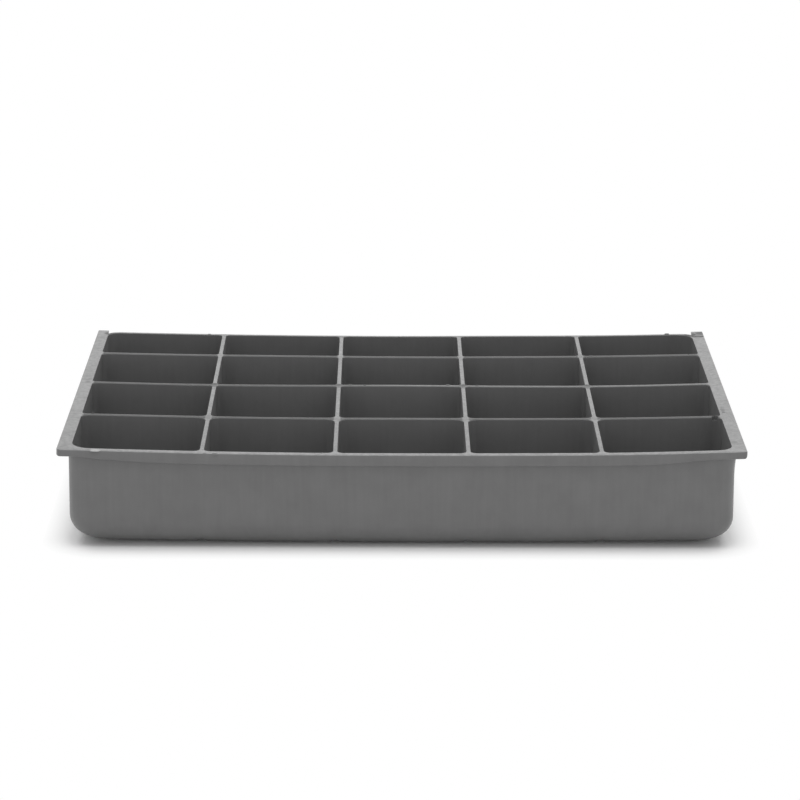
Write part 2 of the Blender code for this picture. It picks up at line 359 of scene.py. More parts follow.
def wall_inset(z):
    """How far an outer wall's inner face stands in from where it is at the top."""
    return (HEIGHT - z) * WALL_DRAFT + quarter(FLOOR + CAVITY_FOOT - z, CAVITY_FOOT)


def divider_half(z, top=DIVIDER):
    """Half of a divider's thickness at height z, with the radius at its foot."""
    return top / 2 + (HEIGHT - z) * DIVIDER_DRAFT + quarter(FLOOR + CELL_FOOT - z, CELL_FOOT)


def mouth(z, radius=MOUTH):
    """How far the worn edge stands back at height z."""
    return quarter(min(z - HEIGHT + radius, radius), radius)


def core(name, column, row):
    """The core of the compartment in this column and row, counted from the front left."""
    x_lines = (GRID_LEFT - BACK_WIDENS * (row > 1),) + LONG_PLACES + (GRID_RIGHT,)
    y_lines = (GRID_FRONT,) + CROSS_PLACES + (GRID_BACK,)

    def sides(z):
        left = wall_inset(z) if column == 0 else divider_half(z)
        right = wall_inset(z) if column == 4 else divider_half(z)
        front = wall_inset(z) if row == 0 else divider_half(z, CROSS_WALL)
        back = wall_inset(z) if row == 3 else divider_half(z, CROSS_WALL)
        front_mouth = mouth(z, MOUTH if row == 0 else WEB_MOUTH)
        back_mouth = mouth(z, MOUTH if row == 3 else WEB_MOUTH)
        return (x_lines[column] + left - mouth(z), x_lines[column + 1] - right + mouth(z),
                y_lines[row] + front - front_mouth, y_lines[row + 1] - back + back_mouth)

    left_end = LEFT_CORNERS[row] if column == 0 else CELL_CORNERS[row]
    right_end = RIGHT_CORNERS[row] if column == 4 else CELL_CORNERS[row]
    radii = (left_end[0], right_end[0], right_end[1], left_end[1])
    heights = foot_heights(FLOOR, CELL_FOOT, CELL_FOOT_STEPS)
    heights += foot_heights(FLOOR, CAVITY_FOOT, CAVITY_FOOT_STEPS)[1:]
    heights += [HEIGHT - WEB_MOUTH * part for part in WEB_MOUTH_CUTS]
    heights += [HEIGHT - MOUTH * part for part in MOUTH_CUTS]
    return drawn_block(name, sides, radii, CELL_CORNER_STEPS, sorted(heights) + [HEIGHT + PAST])


def copy_of(piece, name):
    """A copy with its own mesh."""
    only(piece)
    bpy.ops.object.duplicate()
    copy = bpy.context.object
    copy.name = name
    copy.data.name = name
    return copy


cores = []
for row in range(4):
    for column in (0, 1, 4):
        first = core(f"core_{row}_{column}", column, row)
        cores.append(first)
        if column == 1:
            for further in (2, 3):
                copy = copy_of(first, f"core_{row}_{further}")
                copy.location.x += LONG_PLACES[further - 1] - LONG_PLACES[0]
                bpy.ops.object.transform_apply(location=True, rotation=True, scale=True)
                cores.append(copy)
combine(moulding, join(cores), "DIFFERENCE")

# Marks of the mould. At the crossings of the middle cross wall the plastic came in through
# pin gates, each in a dish of its own. A round ejector pin pushed on each compartment's floor.
# The flanges have small dents and, on the right, a round hole and a low pad at the rear end.
GATE_RADIUS = 0.0024
GATE_DEPTH = 0.0004
DISHES = (
    (0.1628, -0.0442, 0.0009, 0.0003),
    (0.1555, 0.0691, 0.0008, 0.0003),
    (-0.1629, 0.0088, 0.0012, 0.0001),
)
PIN_RADIUS = 0.0030
PIN_TALL = 0.0010
PIN_SUNK = 0.0001
CELL_MIDDLES = (-0.1292, -0.0648, 0, 0.0648, 0.1292)
ROW_MIDDLES = (-0.0800, -0.0200, 0.0394, 0.0896)
HOLE_RADIUS = 0.0017
HOLE_DEPTH = 0.0018
HOLE_PLACE = (0.1578, -0.0513)
PAD_HEIGHT = 0.0004
PAD_FRONT = 0.1052
PAD_FROM = (STRIP_INNER - 0.0003, PAD_FRONT, HEIGHT - 0.0010)
PAD_TO = (RIM_SIDE - 0.0002, RIM_BACK - 0.0004, HEIGHT + PAD_HEIGHT)
PAD_WEAR = 0.00015

marks = []
gates = tuple((x, CROSS_PLACES[1], GATE_RADIUS, GATE_DEPTH) for x in LONG_PLACES)
for x, y, radius, depth in gates + DISHES:
    ball = (radius ** 2 + depth ** 2) / (2 * depth)
    bpy.ops.object.select_all(action="DESELECT")
    bpy.ops.mesh.primitive_uv_sphere_add(
        segments=32, ring_count=48, radius=ball, location=(x, y, HEIGHT - depth + ball))
    marks.append(bpy.context.object)
for x in CELL_MIDDLES:
    for y in ROW_MIDDLES:
        bpy.ops.object.select_all(action="DESELECT")
        bpy.ops.mesh.primitive_cylinder_add(
            vertices=32, radius=PIN_RADIUS, depth=PIN_TALL,
            location=(x, y, FLOOR - PIN_SUNK + PIN_TALL / 2))
        marks.append(bpy.context.object)
bpy.ops.object.select_all(action="DESELECT")
bpy.ops.mesh.primitive_cylinder_add(
    vertices=24, radius=HOLE_RADIUS, depth=2 * HOLE_DEPTH, location=(*HOLE_PLACE, HEIGHT))
marks.append(bpy.context.object)
cutter = join(marks)
bpy.ops.object.transform_apply(location=True, rotation=True, scale=True)
combine(moulding, cutter, "DIFFERENCE")
pad = box("pad", PAD_FROM, PAD_TO)
bpy.ops.object.mode_set(mode="EDIT")
pick("VERT", lambda p: p.z > HEIGHT and near(p.y, PAD_FRONT))
bpy.ops.transform.translate(value=(0, PAD_HEIGHT, 0))
pick("EDGE", lambda p: p.z > HEIGHT)
bpy.ops.mesh.bevel(offset=PAD_WEAR, segments=2)
bpy.ops.object.mode_set(mode="OBJECT")
combine(moulding, pad, "UNION")

# Flash. Where the mould's halves no longer close tight, the plastic squeezes out as thin flat
# burrs along the tops. Each has a place, a length, a width and a height from the photograph.
FLAKE_FROM = (-0.1508, RIM_FRONT - 0.0013, HEIGHT - 0.00025)
FLAKE_TO = (-0.1466, RIM_FRONT + 0.0030, HEIGHT + 0.00010)
BURR_ROOT = 0.0008
BURR_TILT = math.radians(-5)
BURR_TAPER = (0.45, 0.6, 1)
BURRS = (
    (-0.0954, -0.1131, 0.0030, 0.0018, 0.00015),
    (-0.0905, -0.1136, 0.0050, 0.0016, 0.00020),
    (-0.0389, -0.1100, 0.0016, 0.0010, 0.00030),
    (-0.0268, 0.0114, 0.0040, 0.0012, 0.00025),
    (-0.0190, 0.0100, 0.0028, 0.0016, 0.00020),
    (0.0245, 0.0114, 0.0036, 0.0014, 0.00035),
    (0.0395, 0.0106, 0.0034, 0.0012, 0.00025),
    (0.1030, 0.0690, 0.0044, 0.0014, 0.00030),
    (-0.1055, 0.1117, 0.0034, 0.0008, 0.00030),
    (0.1474, 0.1117, 0.0044, 0.0008, 0.00060),
    (-0.1553, -0.0497, 0.0012, 0.0010, 0.00080),
)
burrs = [box("flake", FLAKE_FROM, FLAKE_TO)]
for x, y, length, width, height in BURRS:
    bpy.ops.object.select_all(action="DESELECT")
    bpy.ops.mesh.primitive_cylinder_add(
        vertices=12, radius=0.5, depth=1, location=(x, y, HEIGHT + (height - BURR_ROOT) / 2))
    burr = bpy.context.object
    burr.rotation_euler.x = BURR_TILT
    burr.scale = (length, width, BURR_ROOT + height)
    bpy.ops.object.transform_apply(location=True, rotation=True, scale=True)
    bpy.ops.object.mode_set(mode="EDIT")
    pick("FACE", lambda p: p.z > HEIGHT)
    bpy.ops.transform.resize(value=BURR_TAPER)
    bpy.ops.object.mode_set(mode="OBJECT")
    burrs.append(burr)
combine(moulding, join(burrs), "UNION")

# The long straight faces are cut across, so that the tray can bow as the real one does. The
# cuts lie at these distances from the middle of each column and of each row.
COLUMN_CUTS = (-0.0170, 0, 0.0170)
ROW_CUTS = (-0.0110, 0.0110)

only(moulding)
bpy.ops.object.mode_set(mode="EDIT")
for x in CELL_MIDDLES:
    for off in COLUMN_CUTS:
        bpy.ops.mesh.select_all(action="SELECT")
        bpy.ops.mesh.bisect(plane_co=(x + off, 0, 0), plane_no=(1, 0, 0))
for y in ROW_MIDDLES:
    for off in ROW_CUTS:
        bpy.ops.mesh.select_all(action="SELECT")
        bpy.ops.mesh.bisect(plane_co=(0, y + off, 0), plane_no=(0, 1, 0))
bpy.ops.object.mode_set(mode="OBJECT")

# Tub: the walls, the floor and the front of the rim. It is what is left of the moulding when
# the solid between the walls, which holds the dividers, and the two flanges are taken off.
SEAM = 0.00002
OUTSIDE = 0.1800
FLANGE_FRONT = -0.1028
FLANGE_BACK = 0.1200
FLANGE_LOW = HEIGHT - 0.0040
CAVITY_CORNERS = (LEFT_CORNERS[0][0], RIGHT_CORNERS[0][0], RIGHT_CORNERS[3][1],
                  LEFT_CORNERS[3][1])


def cavity_sides(z):
    """The inner faces of the tub at height z: left, right, front and back."""
    foot = quarter(FLOOR + CAVITY_FOOT - z, CAVITY_FOOT - SEAM)
    inset = (HEIGHT - z) * WALL_DRAFT + SEAM + foot
    return (GRID_LEFT + inset, GRID_RIGHT - inset, GRID_FRONT + inset, GRID_BACK - inset)


cavity = drawn_block(
    "cavity", cavity_sides, [radius - SEAM for radius in CAVITY_CORNERS], CELL_CORNER_STEPS,
    foot_heights(FLOOR + SEAM, CAVITY_FOOT - SEAM, CAVITY_FOOT_STEPS) + [HEIGHT + 2 * PAST])
flange_boxes = [
    box("flange_box", (left, FLANGE_FRONT, FLANGE_LOW), (right, FLANGE_BACK, HEIGHT + 2 * PAST))
    for left, right in ((-OUTSIDE, -BODY_SIDE), (BODY_SIDE, OUTSIDE))
]
walls = copy_of(moulding, "walls")
combine(walls, cavity, "INTERSECT", keep=True)
combine(moulding, cavity, "DIFFERENCE")
tub = moulding
tub.name = tub.data.name = "tray_tub"
flanges = []
for side, flange_box in zip(("left", "right"), flange_boxes):
    flange = copy_of(tub, f"{side}_side_flange")
    combine(flange, flange_box, "INTERSECT", keep=True)
    combine(tub, flange_box, "DIFFERENCE")
    flanges.append(flange)

# The real tray isn't true. Its ends stand 2 mm up, it widens a little to the front, its foot
# hangs at the ends, and the thin cross walls sway. Rows of SWAY go from front to back and
# say how far back the top stands there, from left to right.
SPREAD = 0.00020
SPREAD_FRONT = 0.00025
FOOT_HANG = 0.0004
SWAY = (
    (0.0016, 0.0005, -0.0002, -0.0002, -0.0004, -0.0008, 0.0008),
    (0.0010, 0.0006, 0, 0.0003, -0.0003, -0.0009, -0.0003),
    (0.0004, -0.0006, 0.0001, 0.0016, -0.0003, -0.0017, 0),
    (0, 0, 0.0006, 0, -0.0003, -0.0005, 0),
    (0, 0, 0, 0, 0.0004, -0.0006, -0.0003),
)

rows, columns = len(SWAY), len(SWAY[0])
bpy.ops.object.select_all(action="DESELECT")
bpy.ops.object.add(type="LATTICE", location=(0, (RIM_FRONT + RIM_BACK) / 2, HEIGHT / 2))
warp = bpy.context.object
warp.scale = (2 * RIM_SIDE, RIM_BACK - RIM_FRONT, HEIGHT)
warp.data.points_u = columns
warp.data.points_v = rows
warp.data.points_w = 2
for direction in "uvw":
    setattr(warp.data, f"interpolation_type_{direction}", "KEY_CARDINAL")
for number, point in enumerate(warp.data.points):
    row, column = divmod(number % (rows * columns), columns)
    across = 2 * column / (columns - 1) - 1
    along = 2 * row / (rows - 1) - 1
    shift = Vector((across * (SPREAD - SPREAD_FRONT * along), 0, 0))
    if number >= rows * columns:
        shift.y = SWAY[row][column]
    else:
        shift.z = -FOOT_HANG * across ** 2
    point.co_deform = point.co_deform + Vector(a / b for a, b in zip(shift, warp.scale))
neutral = bpy.data.objects.new("neutral", None)
bpy.context.collection.objects.link(neutral)
neutral.location = (0, 0, HEIGHT)
neutral.rotation_euler = (math.pi / 2, 0, 0)
bpy.context.view_layer.update()

# Moulded grey polypropylene: a satin skin with the mould's grain, drawn coarser than its real
# 0.1 mm so that it shows, with faint clouds and streaks, and paler tops where the tray was
# handled. The gates, the crossings and the cross walls' tops lie lower and stay dull. The round
# hole is painted dark as painted shade, the sink lines on the left flange carry painted shade,
# the flake at the front carries a painted highlight, and the flanges' rear ends are painted
# darker.
GREY = "656565"
GREY_CLOUD = "6b6b6b"
GREY_TOP = "5d5d5d"
GREY_SCUFF = "7b7b7b"
# The dull marks' grey, also used as painted shade at the round hole and the left flange's sink
# lines.
GREY_DULL_AND_SHADE = "4d4d4d"
# The flake's paler grey: a painted highlight.
GREY_PAINTED_HIGHLIGHT = "8a8a8a"
CLOUD = 0.0140
CLOUD_SHARE = 0.62
STREAK = 0.0022
STREAK_SHARE = 0.38
STREAK_SQUEEZE = (1, 1, 0.07)
SCUFF = 0.0024
GRAIN = 0.0007
GRAIN_DEPTH = 0.00006
GRAIN_STRENGTH = 0.35
NOISE_LOW = 0.35
NOISE_HIGH = 0.65
TOPS_FROM = 0.0455
TOPS_FULL = 0.0475
SLOPED = 0.60
LEVEL = 0.95
# Spots painted dull and darker. The one at the round hole is painted shade, those at the flanges'
# rear ends are painted darker, and the rest are dull marks.
DULL_AND_SHADE_SPOTS = (
    (-0.0972, 0.0089, 0.0046, 0.70), (-0.0324, 0.0102, 0.0046, 0.72),
    (0.0324, 0.0099, 0.0046, 0.72), (0.0972, 0.0078, 0.0046, 0.72),
    (-0.0972, -0.0498, 0.0040, 0.42), (-0.0324, -0.0503, 0.0040, 0.26),
    (0.0324, -0.0503, 0.0040, 0.26), (0.0972, -0.0510, 0.0040, 0.32),
    (0.0972, 0.0680, 0.0040, 0.42), (-0.1600, -0.1090, 0.0090, 0.22),
    (-0.1630, 0.0088, 0.0018, 0.45), (0.1628, -0.0965, 0.0022, 0.45),
    (0.1660, 0.1110, 0.0034, 1.00), (0.1578, -0.0514, 0.0026, 1.00),
    (0.1598, 0.1090, 0.0040, 1.00), (-0.1600, 0.1092, 0.0036, 1.00),
)
WEB_DULLNESS = 0.95
POLISHED_DULLNESS = 0.55
POLISHED_FROM = -0.0500
POLISHED_TO = 0.0100
WEBS_END = 0.1600
WEBS_FADE = 0.1610
COLUMN_PITCH = 0.0648
DIVIDER_EDGE = 0.0011
WEB_START = 0.0018
WEB_HALF = 0.0030
WEB_FADE = 0.0034
# Two lines on the left flange painted darker: painted shade of shallow sink grooves.
SINK_LINES = (-0.0452, 0.0150)
SINK_WIDTH = 0.0014
SINK_SHADE_SHARE = 0.28
SINK_FROM = -0.1616
SINK_TO = -0.1608
FRONT_DULLNESS = 0.11
WORN_FROM = -0.1080
WORN_TO = 0.0400
STRIP_FROM = -0.1105
STRIP_TO = -0.1085
# Where the flake at the front is painted paler: a painted highlight.
HIGHLIGHT_SPOT = (-0.1487, -0.1122, 0)
HIGHLIGHT_RADIUS = 0.0026
SHINE = 0.50
DULL_AND_SHADE_SHINE = 0.06
ROUGH_CLOUD = 0.46
SMOOTH_CLOUD = 0.38
TOPS_SMOOTHER = -0.06
PLASTIC_IOR = 1.49


def linear(hexa):
    """An sRGB hex colour as the linear values that a shader takes."""
    parts = [int(hexa[i:i + 2], 16) / 255 for i in (0, 2, 4)]
    return [p / 12.92 if p <= 0.04045 else ((p + 0.055) / 1.055) ** 2.4 for p in parts] + [1]


def add_node(tree, kind, sockets=(), **settings):
    """Adds a node, sets it up and fills its sockets with values or with links."""
    node = tree.nodes.new(kind)
    for name, value in settings.items():
        setattr(node, name, value)
    for socket, value in dict(sockets).items():
        if isinstance(value, bpy.types.NodeSocket):
            tree.links.new(value, node.inputs[socket])
        else:
            node.inputs[socket].default_value = value
    return node


def off_line(tree, coordinate, line):
    """How far a coordinate is from a line, on either side of it."""
    gap = add_node(tree, "ShaderNodeMath", {0: coordinate, 1: line}, operation="SUBTRACT")
    return add_node(tree, "ShaderNodeMath", {0: gap.outputs[0]}, operation="ABSOLUTE").outputs[0]


plastic = bpy.data.materials.new("moulded_grey_polypropylene")
plastic.use_nodes = True
tree = plastic.node_tree
shader = tree.nodes["Principled BSDF"]
place = add_node(tree, "ShaderNodeTexCoord").outputs["Object"]
facing = add_node(tree, "ShaderNodeNewGeometry").outputs["Normal"]
apart = add_node(tree, "ShaderNodeSeparateXYZ", {0: place})
upward = add_node(tree, "ShaderNodeSeparateXYZ", {0: facing}).outputs["Z"]
clouds = add_node(tree, "ShaderNodeTexNoise",
                  {"Vector": place, "Scale": 1 / CLOUD, "Detail": 3.0, "Roughness": 0.55})
drawn = add_node(tree, "ShaderNodeMapping", {"Vector": place, "Scale": STREAK_SQUEEZE})
streaks = add_node(tree, "ShaderNodeTexNoise",
                   {"Vector": drawn.outputs[0], "Scale": 1 / STREAK, "Detail": 2.0})
grain = add_node(tree, "ShaderNodeTexNoise",
                 {"Vector": place, "Scale": 1 / GRAIN, "Detail": 2.0, "Roughness": 0.6})
high_up = add_node(tree, "ShaderNodeMapRange", {
    "Value": apart.outputs["Z"], "From Min": TOPS_FROM, "From Max": TOPS_FULL,
    "To Min": 0.0, "To Max": 1.0})
flat = add_node(tree, "ShaderNodeMapRange", {
    "Value": upward, "From Min": SLOPED, "From Max": LEVEL, "To Min": 0.0, "To Max": 1.0})
tops = add_node(tree, "ShaderNodeMath", {0: high_up.outputs[0], 1: flat.outputs[0]},
                operation="MULTIPLY")
mixed = add_node(tree, "ShaderNodeMath", {0: clouds.outputs[0], 1: CLOUD_SHARE},
                 operation="MULTIPLY")
mixed = add_node(tree, "ShaderNodeMath", {
    0: streaks.outputs[0], 1: STREAK_SHARE, 2: mixed.outputs[0]}, operation="MULTIPLY_ADD")
spread = add_node(tree, "ShaderNodeMapRange", {
    "Value": mixed.outputs[0], "From Min": NOISE_LOW, "From Max": NOISE_HIGH,
    "To Min": 0.0, "To Max": 1.0})
body_grey = add_node(tree, "ShaderNodeMix", {
    0: spread.outputs[0], 6: linear(GREY), 7: linear(GREY_CLOUD)}, data_type="RGBA")
scuffs = add_node(tree, "ShaderNodeTexNoise",
                  {"Vector": place, "Scale": 1 / SCUFF, "Detail": 4.0, "Roughness": 0.7})
scuffed = add_node(tree, "ShaderNodeMapRange", {
    "Value": scuffs.outputs[0], "From Min": NOISE_LOW, "From Max": NOISE_HIGH,
    "To Min": 0.0, "To Max": 1.0})
top_grey = add_node(tree, "ShaderNodeMix", {
    0: scuffed.outputs[0], 6: linear(GREY_TOP), 7: linear(GREY_SCUFF)}, data_type="RGBA")
colour = add_node(tree, "ShaderNodeMix", {
    0: tops.outputs[0], 6: body_grey.outputs[2], 7: top_grey.outputs[2]}, data_type="RGBA")
level_place = add_node(tree, "ShaderNodeVectorMath", {0: place, 1: (1, 1, 0)},
                       operation="MULTIPLY").outputs[0]
dull_and_shade = None
for x, y, radius, share in DULL_AND_SHADE_SPOTS:
    gap = add_node(tree, "ShaderNodeVectorMath", {0: level_place, 1: (x, y, 0)},
                   operation="DISTANCE")
    spot = add_node(tree, "ShaderNodeMapRange", {
        "Value": gap.outputs["Value"], "From Min": 0.7 * radius, "From Max": 1.1 * radius,
        "To Min": share, "To Max": 0.0})
    if dull_and_shade:
        spot = add_node(tree, "ShaderNodeMath", {0: spot.outputs[0], 1: dull_and_shade.outputs[0]},
                        operation="MAXIMUM")
    dull_and_shade = spot
# Folded twice, the distance from the tray's middle becomes that from the nearest long divider.
off_axis = add_node(tree, "ShaderNodeMath", {0: apart.outputs["X"]}, operation="ABSOLUTE")
in_grid = add_node(tree, "ShaderNodeMapRange", {
    "Value": off_axis.outputs[0], "From Min": WEBS_END, "From Max": WEBS_FADE,
    "To Min": 1.0, "To Max": 0.0})
off_middle = off_line(tree, off_axis.outputs[0], COLUMN_PITCH)
off_divider = off_line(tree, off_middle, COLUMN_PITCH / 2)
between = add_node(tree, "ShaderNodeMapRange", {
    "Value": off_divider, "From Min": DIVIDER_EDGE, "From Max": WEB_START,
    "To Min": 0.0, "To Max": 1.0})
between = add_node(tree, "ShaderNodeMath", {0: between.outputs[0], 1: in_grid.outputs[0]},
                   operation="MULTIPLY")
polished = add_node(tree, "ShaderNodeMapRange", {
    "Value": apart.outputs["X"], "From Min": POLISHED_FROM, "From Max": POLISHED_TO,
    "To Min": WEB_DULLNESS, "To Max": POLISHED_DULLNESS})
for y, share in zip(CROSS_PLACES, (WEB_DULLNESS, polished.outputs[0], WEB_DULLNESS)):
    band = add_node(tree, "ShaderNodeMapRange", {
        "Value": off_line(tree, apart.outputs["Y"], y),
        "From Min": WEB_HALF, "From Max": WEB_FADE,
        "To Min": share, "To Max": 0.0})
    band = add_node(tree, "ShaderNodeMath", {0: band.outputs[0], 1: between.outputs[0]},
                    operation="MULTIPLY")
    dull_and_shade = add_node(tree, "ShaderNodeMath", {0: dull_and_shade.outputs[0], 1: band.outputs[0]},
                    operation="MAXIMUM")
# The left flange's sink lines: painted shade of shallow grooves.
on_left = add_node(tree, "ShaderNodeMapRange", {
    "Value": apart.outputs["X"], "From Min": SINK_FROM, "From Max": SINK_TO,
    "To Min": SINK_SHADE_SHARE, "To Max": 0.0})
for y in SINK_LINES:
    line = add_node(tree, "ShaderNodeMapRange", {
        "Value": off_line(tree, apart.outputs["Y"], y),
        "From Min": 0.4 * SINK_WIDTH, "From Max": 1.2 * SINK_WIDTH,
        "To Min": 1.0, "To Max": 0.0})
    line = add_node(tree, "ShaderNodeMath", {0: line.outputs[0], 1: on_left.outputs[0]},
                    operation="MULTIPLY")
    dull_and_shade = add_node(tree, "ShaderNodeMath", {0: dull_and_shade.outputs[0], 1: line.outputs[0]},
                    operation="MAXIMUM")
worn = add_node(tree, "ShaderNodeMapRange", {
    "Value": apart.outputs["Y"], "From Min": WORN_FROM, "From Max": WORN_TO,
    "To Min": FRONT_DULLNESS, "To Max": 0.0})
off_strip = add_node(tree, "ShaderNodeMapRange", {
    "Value": apart.outputs["Y"], "From Min": STRIP_FROM, "From Max": STRIP_TO,
    "To Min": 0.0, "To Max": 1.0})
worn = add_node(tree, "ShaderNodeMath", {0: worn.outputs[0], 1: off_strip.outputs[0]},
                operation="MULTIPLY")
dull_and_shade = add_node(tree, "ShaderNodeMath", {0: dull_and_shade.outputs[0], 1: worn.outputs[0]},
                operation="MAXIMUM")
dull_and_shade = add_node(tree, "ShaderNodeMath", {0: dull_and_shade.outputs[0], 1: tops.outputs[0]},
                operation="MULTIPLY")
colour = add_node(tree, "ShaderNodeMix", {
    0: dull_and_shade.outputs[0], 6: colour.outputs[2], 7: linear(GREY_DULL_AND_SHADE)}, data_type="RGBA")
# The flake at the front is painted paler: a painted highlight where it catches the light.
gap = add_node(tree, "ShaderNodeVectorMath", {0: level_place, 1: HIGHLIGHT_SPOT},
               operation="DISTANCE")
painted_highlight = add_node(tree, "ShaderNodeMapRange", {
    "Value": gap.outputs["Value"], "From Min": 0.8 * HIGHLIGHT_RADIUS, "From Max": HIGHLIGHT_RADIUS,
    "To Min": 1.0, "To Max": 0.0})
painted_highlight = add_node(tree, "ShaderNodeMath", {0: painted_highlight.outputs[0], 1: tops.outputs[0]},
                operation="MULTIPLY")
colour = add_node(tree, "ShaderNodeMix", {
    0: painted_highlight.outputs[0], 6: colour.outputs[2], 7: linear(GREY_PAINTED_HIGHLIGHT)}, data_type="RGBA")
tree.links.new(colour.outputs[2], shader.inputs["Base Color"])
shine = add_node(tree, "ShaderNodeMapRange", {
    "Value": dull_and_shade.outputs[0], "From Min": 0.0, "From Max": 1.0,
    "To Min": SHINE, "To Max": DULL_AND_SHADE_SHINE})
tree.links.new(shine.outputs[0], shader.inputs["Specular IOR Level"])
skin = add_node(tree, "ShaderNodeMapRange", {
    "Value": mixed.outputs[0], "From Min": NOISE_LOW, "From Max": NOISE_HIGH,
    "To Min": ROUGH_CLOUD, "To Max": SMOOTH_CLOUD})
skin = add_node(tree, "ShaderNodeMath", {
    0: tops.outputs[0], 1: TOPS_SMOOTHER, 2: skin.outputs[0]}, operation="MULTIPLY_ADD")
tree.links.new(skin.outputs[0], shader.inputs["Roughness"])
bump = add_node(tree, "ShaderNodeBump", {
    "Height": grain.outputs[0], "Strength": GRAIN_STRENGTH, "Distance": GRAIN_DEPTH})
tree.links.new(bump.outputs[0], shader.inputs["Normal"])
shader.inputs["IOR"].default_value = PLASTIC_IOR

# Finish. Every member sways and bows as a part of the one moulding, and is of its plastic.
# Faces below UNDER_FLOOR are split into triangles first, or long thin ones would fold.
UNDER_FLOOR = 0.0014
BOW_RADIUS = 6.91
SMOOTH_BELOW = math.radians(40)


def finish_member(piece, *nodes):
    """Warps the piece with the rest of the tray, and gives it its surface and its place."""
    only(piece)
    bpy.ops.object.mode_set(mode="EDIT")
    pick("FACE", lambda p: p.z < UNDER_FLOOR)
    bpy.ops.mesh.quads_convert_to_tris(quad_method="BEAUTY", ngon_method="BEAUTY")
    bpy.ops.object.mode_set(mode="OBJECT")
    sway = piece.modifiers.new("sway", "LATTICE")
    sway.object = warp
    bpy.ops.object.modifier_apply(modifier=sway.name)
    # A bend's angle is spread over the piece's own width, so each has the angle for one radius.
    across = [corner.co.x for corner in piece.data.vertices]
    bow = piece.modifiers.new("bow", "SIMPLE_DEFORM")
    bow.deform_method = "BEND"
    bow.deform_axis = "Z"
    bow.origin = neutral
    bow.angle = (max(across) - min(across)) / BOW_RADIUS
    bpy.ops.object.modifier_apply(modifier=bow.name)
    bpy.ops.object.shade_smooth_by_angle(angle=SMOOTH_BELOW)
    piece.data.materials.clear()
    piece.data.materials.append(plastic)
    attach(piece, "root")
    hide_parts(*nodes)


finish_member(tub, "tub")
finish_member(flanges[0], "left_flange")
finish_member(flanges[1], "right_flange")

# Long dividers. Each of the four runs from the front wall to the back wall and keeps short
# stubs of the cross walls, so that its filleted crossings stay whole.
STUB = 0.0052


def trim(left, right):
    """In edit mode, keeps what lies between these two places and closes the cut ends."""
    for place, low_side in ((left, True), (right, False)):
        if abs(place) < BODY_SIDE:
            bpy.ops.mesh.select_all(action="SELECT")
            bpy.ops.mesh.bisect(plane_co=(place, 0, 0), plane_no=(1, 0, 0), use_fill=True,
                                clear_inner=low_side, clear_outer=not low_side)


for number, x in enumerate(LONG_PLACES, 1):
    divider = copy_of(walls, f"long_divider_wall_{number}")
    bpy.ops.object.mode_set(mode="EDIT")
    trim(x - STUB, x + STUB)
    bpy.ops.object.mode_set(mode="OBJECT")
    finish_member(divider, f"long_divider_{number}")

# Cross walls. Three walls from side to side, each cut into five webs by the long dividers. All
# of them are parts of the same moulding, split here as the CAD's solids are. Loose bits with
# fewer corners than CRUMB are shavings of the dividers' feet, and are dropped.
CRUMB = 100

ends = (-OUTSIDE,) + LONG_PLACES + (OUTSIDE,)
for column, (left, right) in enumerate(zip(ends, ends[1:]), 1):
    copy_of(walls, f"webs_{column}")
    bpy.ops.object.mode_set(mode="EDIT")
    trim(left + STUB, right - STUB)
    bpy.ops.mesh.separate(type="LOOSE")
    bpy.ops.object.mode_set(mode="OBJECT")
    for web in list(bpy.context.selected_objects):
        if len(web.data.vertices) < CRUMB:
            bpy.data.objects.remove(web)
            continue
        y = sum(corner.co.y for corner in web.data.vertices) / len(web.data.vertices)
        row = min(range(3), key=lambda i: abs(CROSS_PLACES[i] - y)) + 1
        web.name = web.data.name = f"cross_web_{row}_{column}"
        finish_member(web, f"cross_wall_{row}_{column}")
for helper in (walls, neutral, warp):
    bpy.data.objects.remove(helper)

# The studio. A sheet of white paper lies under the tray. Near the tray it is lit as any paper
# is and keeps the shadow, and further off it is plain white to the eye, as in the photograph.
PAPER = "f2f2f2"
WHITE = "ffffff"
PAPER_ROUGHNESS = 0.9
PAPER_SIZE = 12
PAPER_DROP = 0.00002
FOOTPRINT = (0.1480, 0.0980)
SHADOW_END = 0.0150
WHITE_FROM = 0.0295
LEAST_WHITE = 0.03


def seen_outright(tree):
    """1 for what the camera sees itself, in a reflection or through glass, and 0 for light."""
    path = add_node(tree, "ShaderNodeLightPath")
    seen = add_node(tree, "ShaderNodeMath", {
        0: path.outputs["Is Camera Ray"], 1: path.outputs["Is Glossy Ray"]}, operation="MAXIMUM")
    return add_node(tree, "ShaderNodeMath", {
        0: seen.outputs[0], 1: path.outputs["Is Transmission Ray"]}, operation="MAXIMUM")


bpy.ops.object.select_all(action="DESELECT")
bpy.ops.mesh.primitive_plane_add(size=PAPER_SIZE, location=(0, 0, -PAPER_DROP))
ground = bpy.context.object
ground.name = "studio_floor"
bpy.ops.object.transform_apply(location=True, rotation=True, scale=True)
paper = bpy.data.materials.new("white_paper_sweep")
paper.use_nodes = True
tree = paper.node_tree
lit = tree.nodes["Principled BSDF"]
lit.inputs["Base Color"].default_value = linear(PAPER)
lit.inputs["Roughness"].default_value = PAPER_ROUGHNESS
place = add_node(tree, "ShaderNodeTexCoord").outputs["Object"]
away = add_node(tree, "ShaderNodeVectorMath", {0: place}, operation="ABSOLUTE")
away = add_node(tree, "ShaderNodeVectorMath", {0: away.outputs[0], 1: (*FOOTPRINT, 0)},
                operation="SUBTRACT")
away = add_node(tree, "ShaderNodeVectorMath", {0: away.outputs[0], 1: (0, 0, 0)},
                operation="MAXIMUM")
away = add_node(tree, "ShaderNodeVectorMath", {0: away.outputs[0]}, operation="LENGTH")
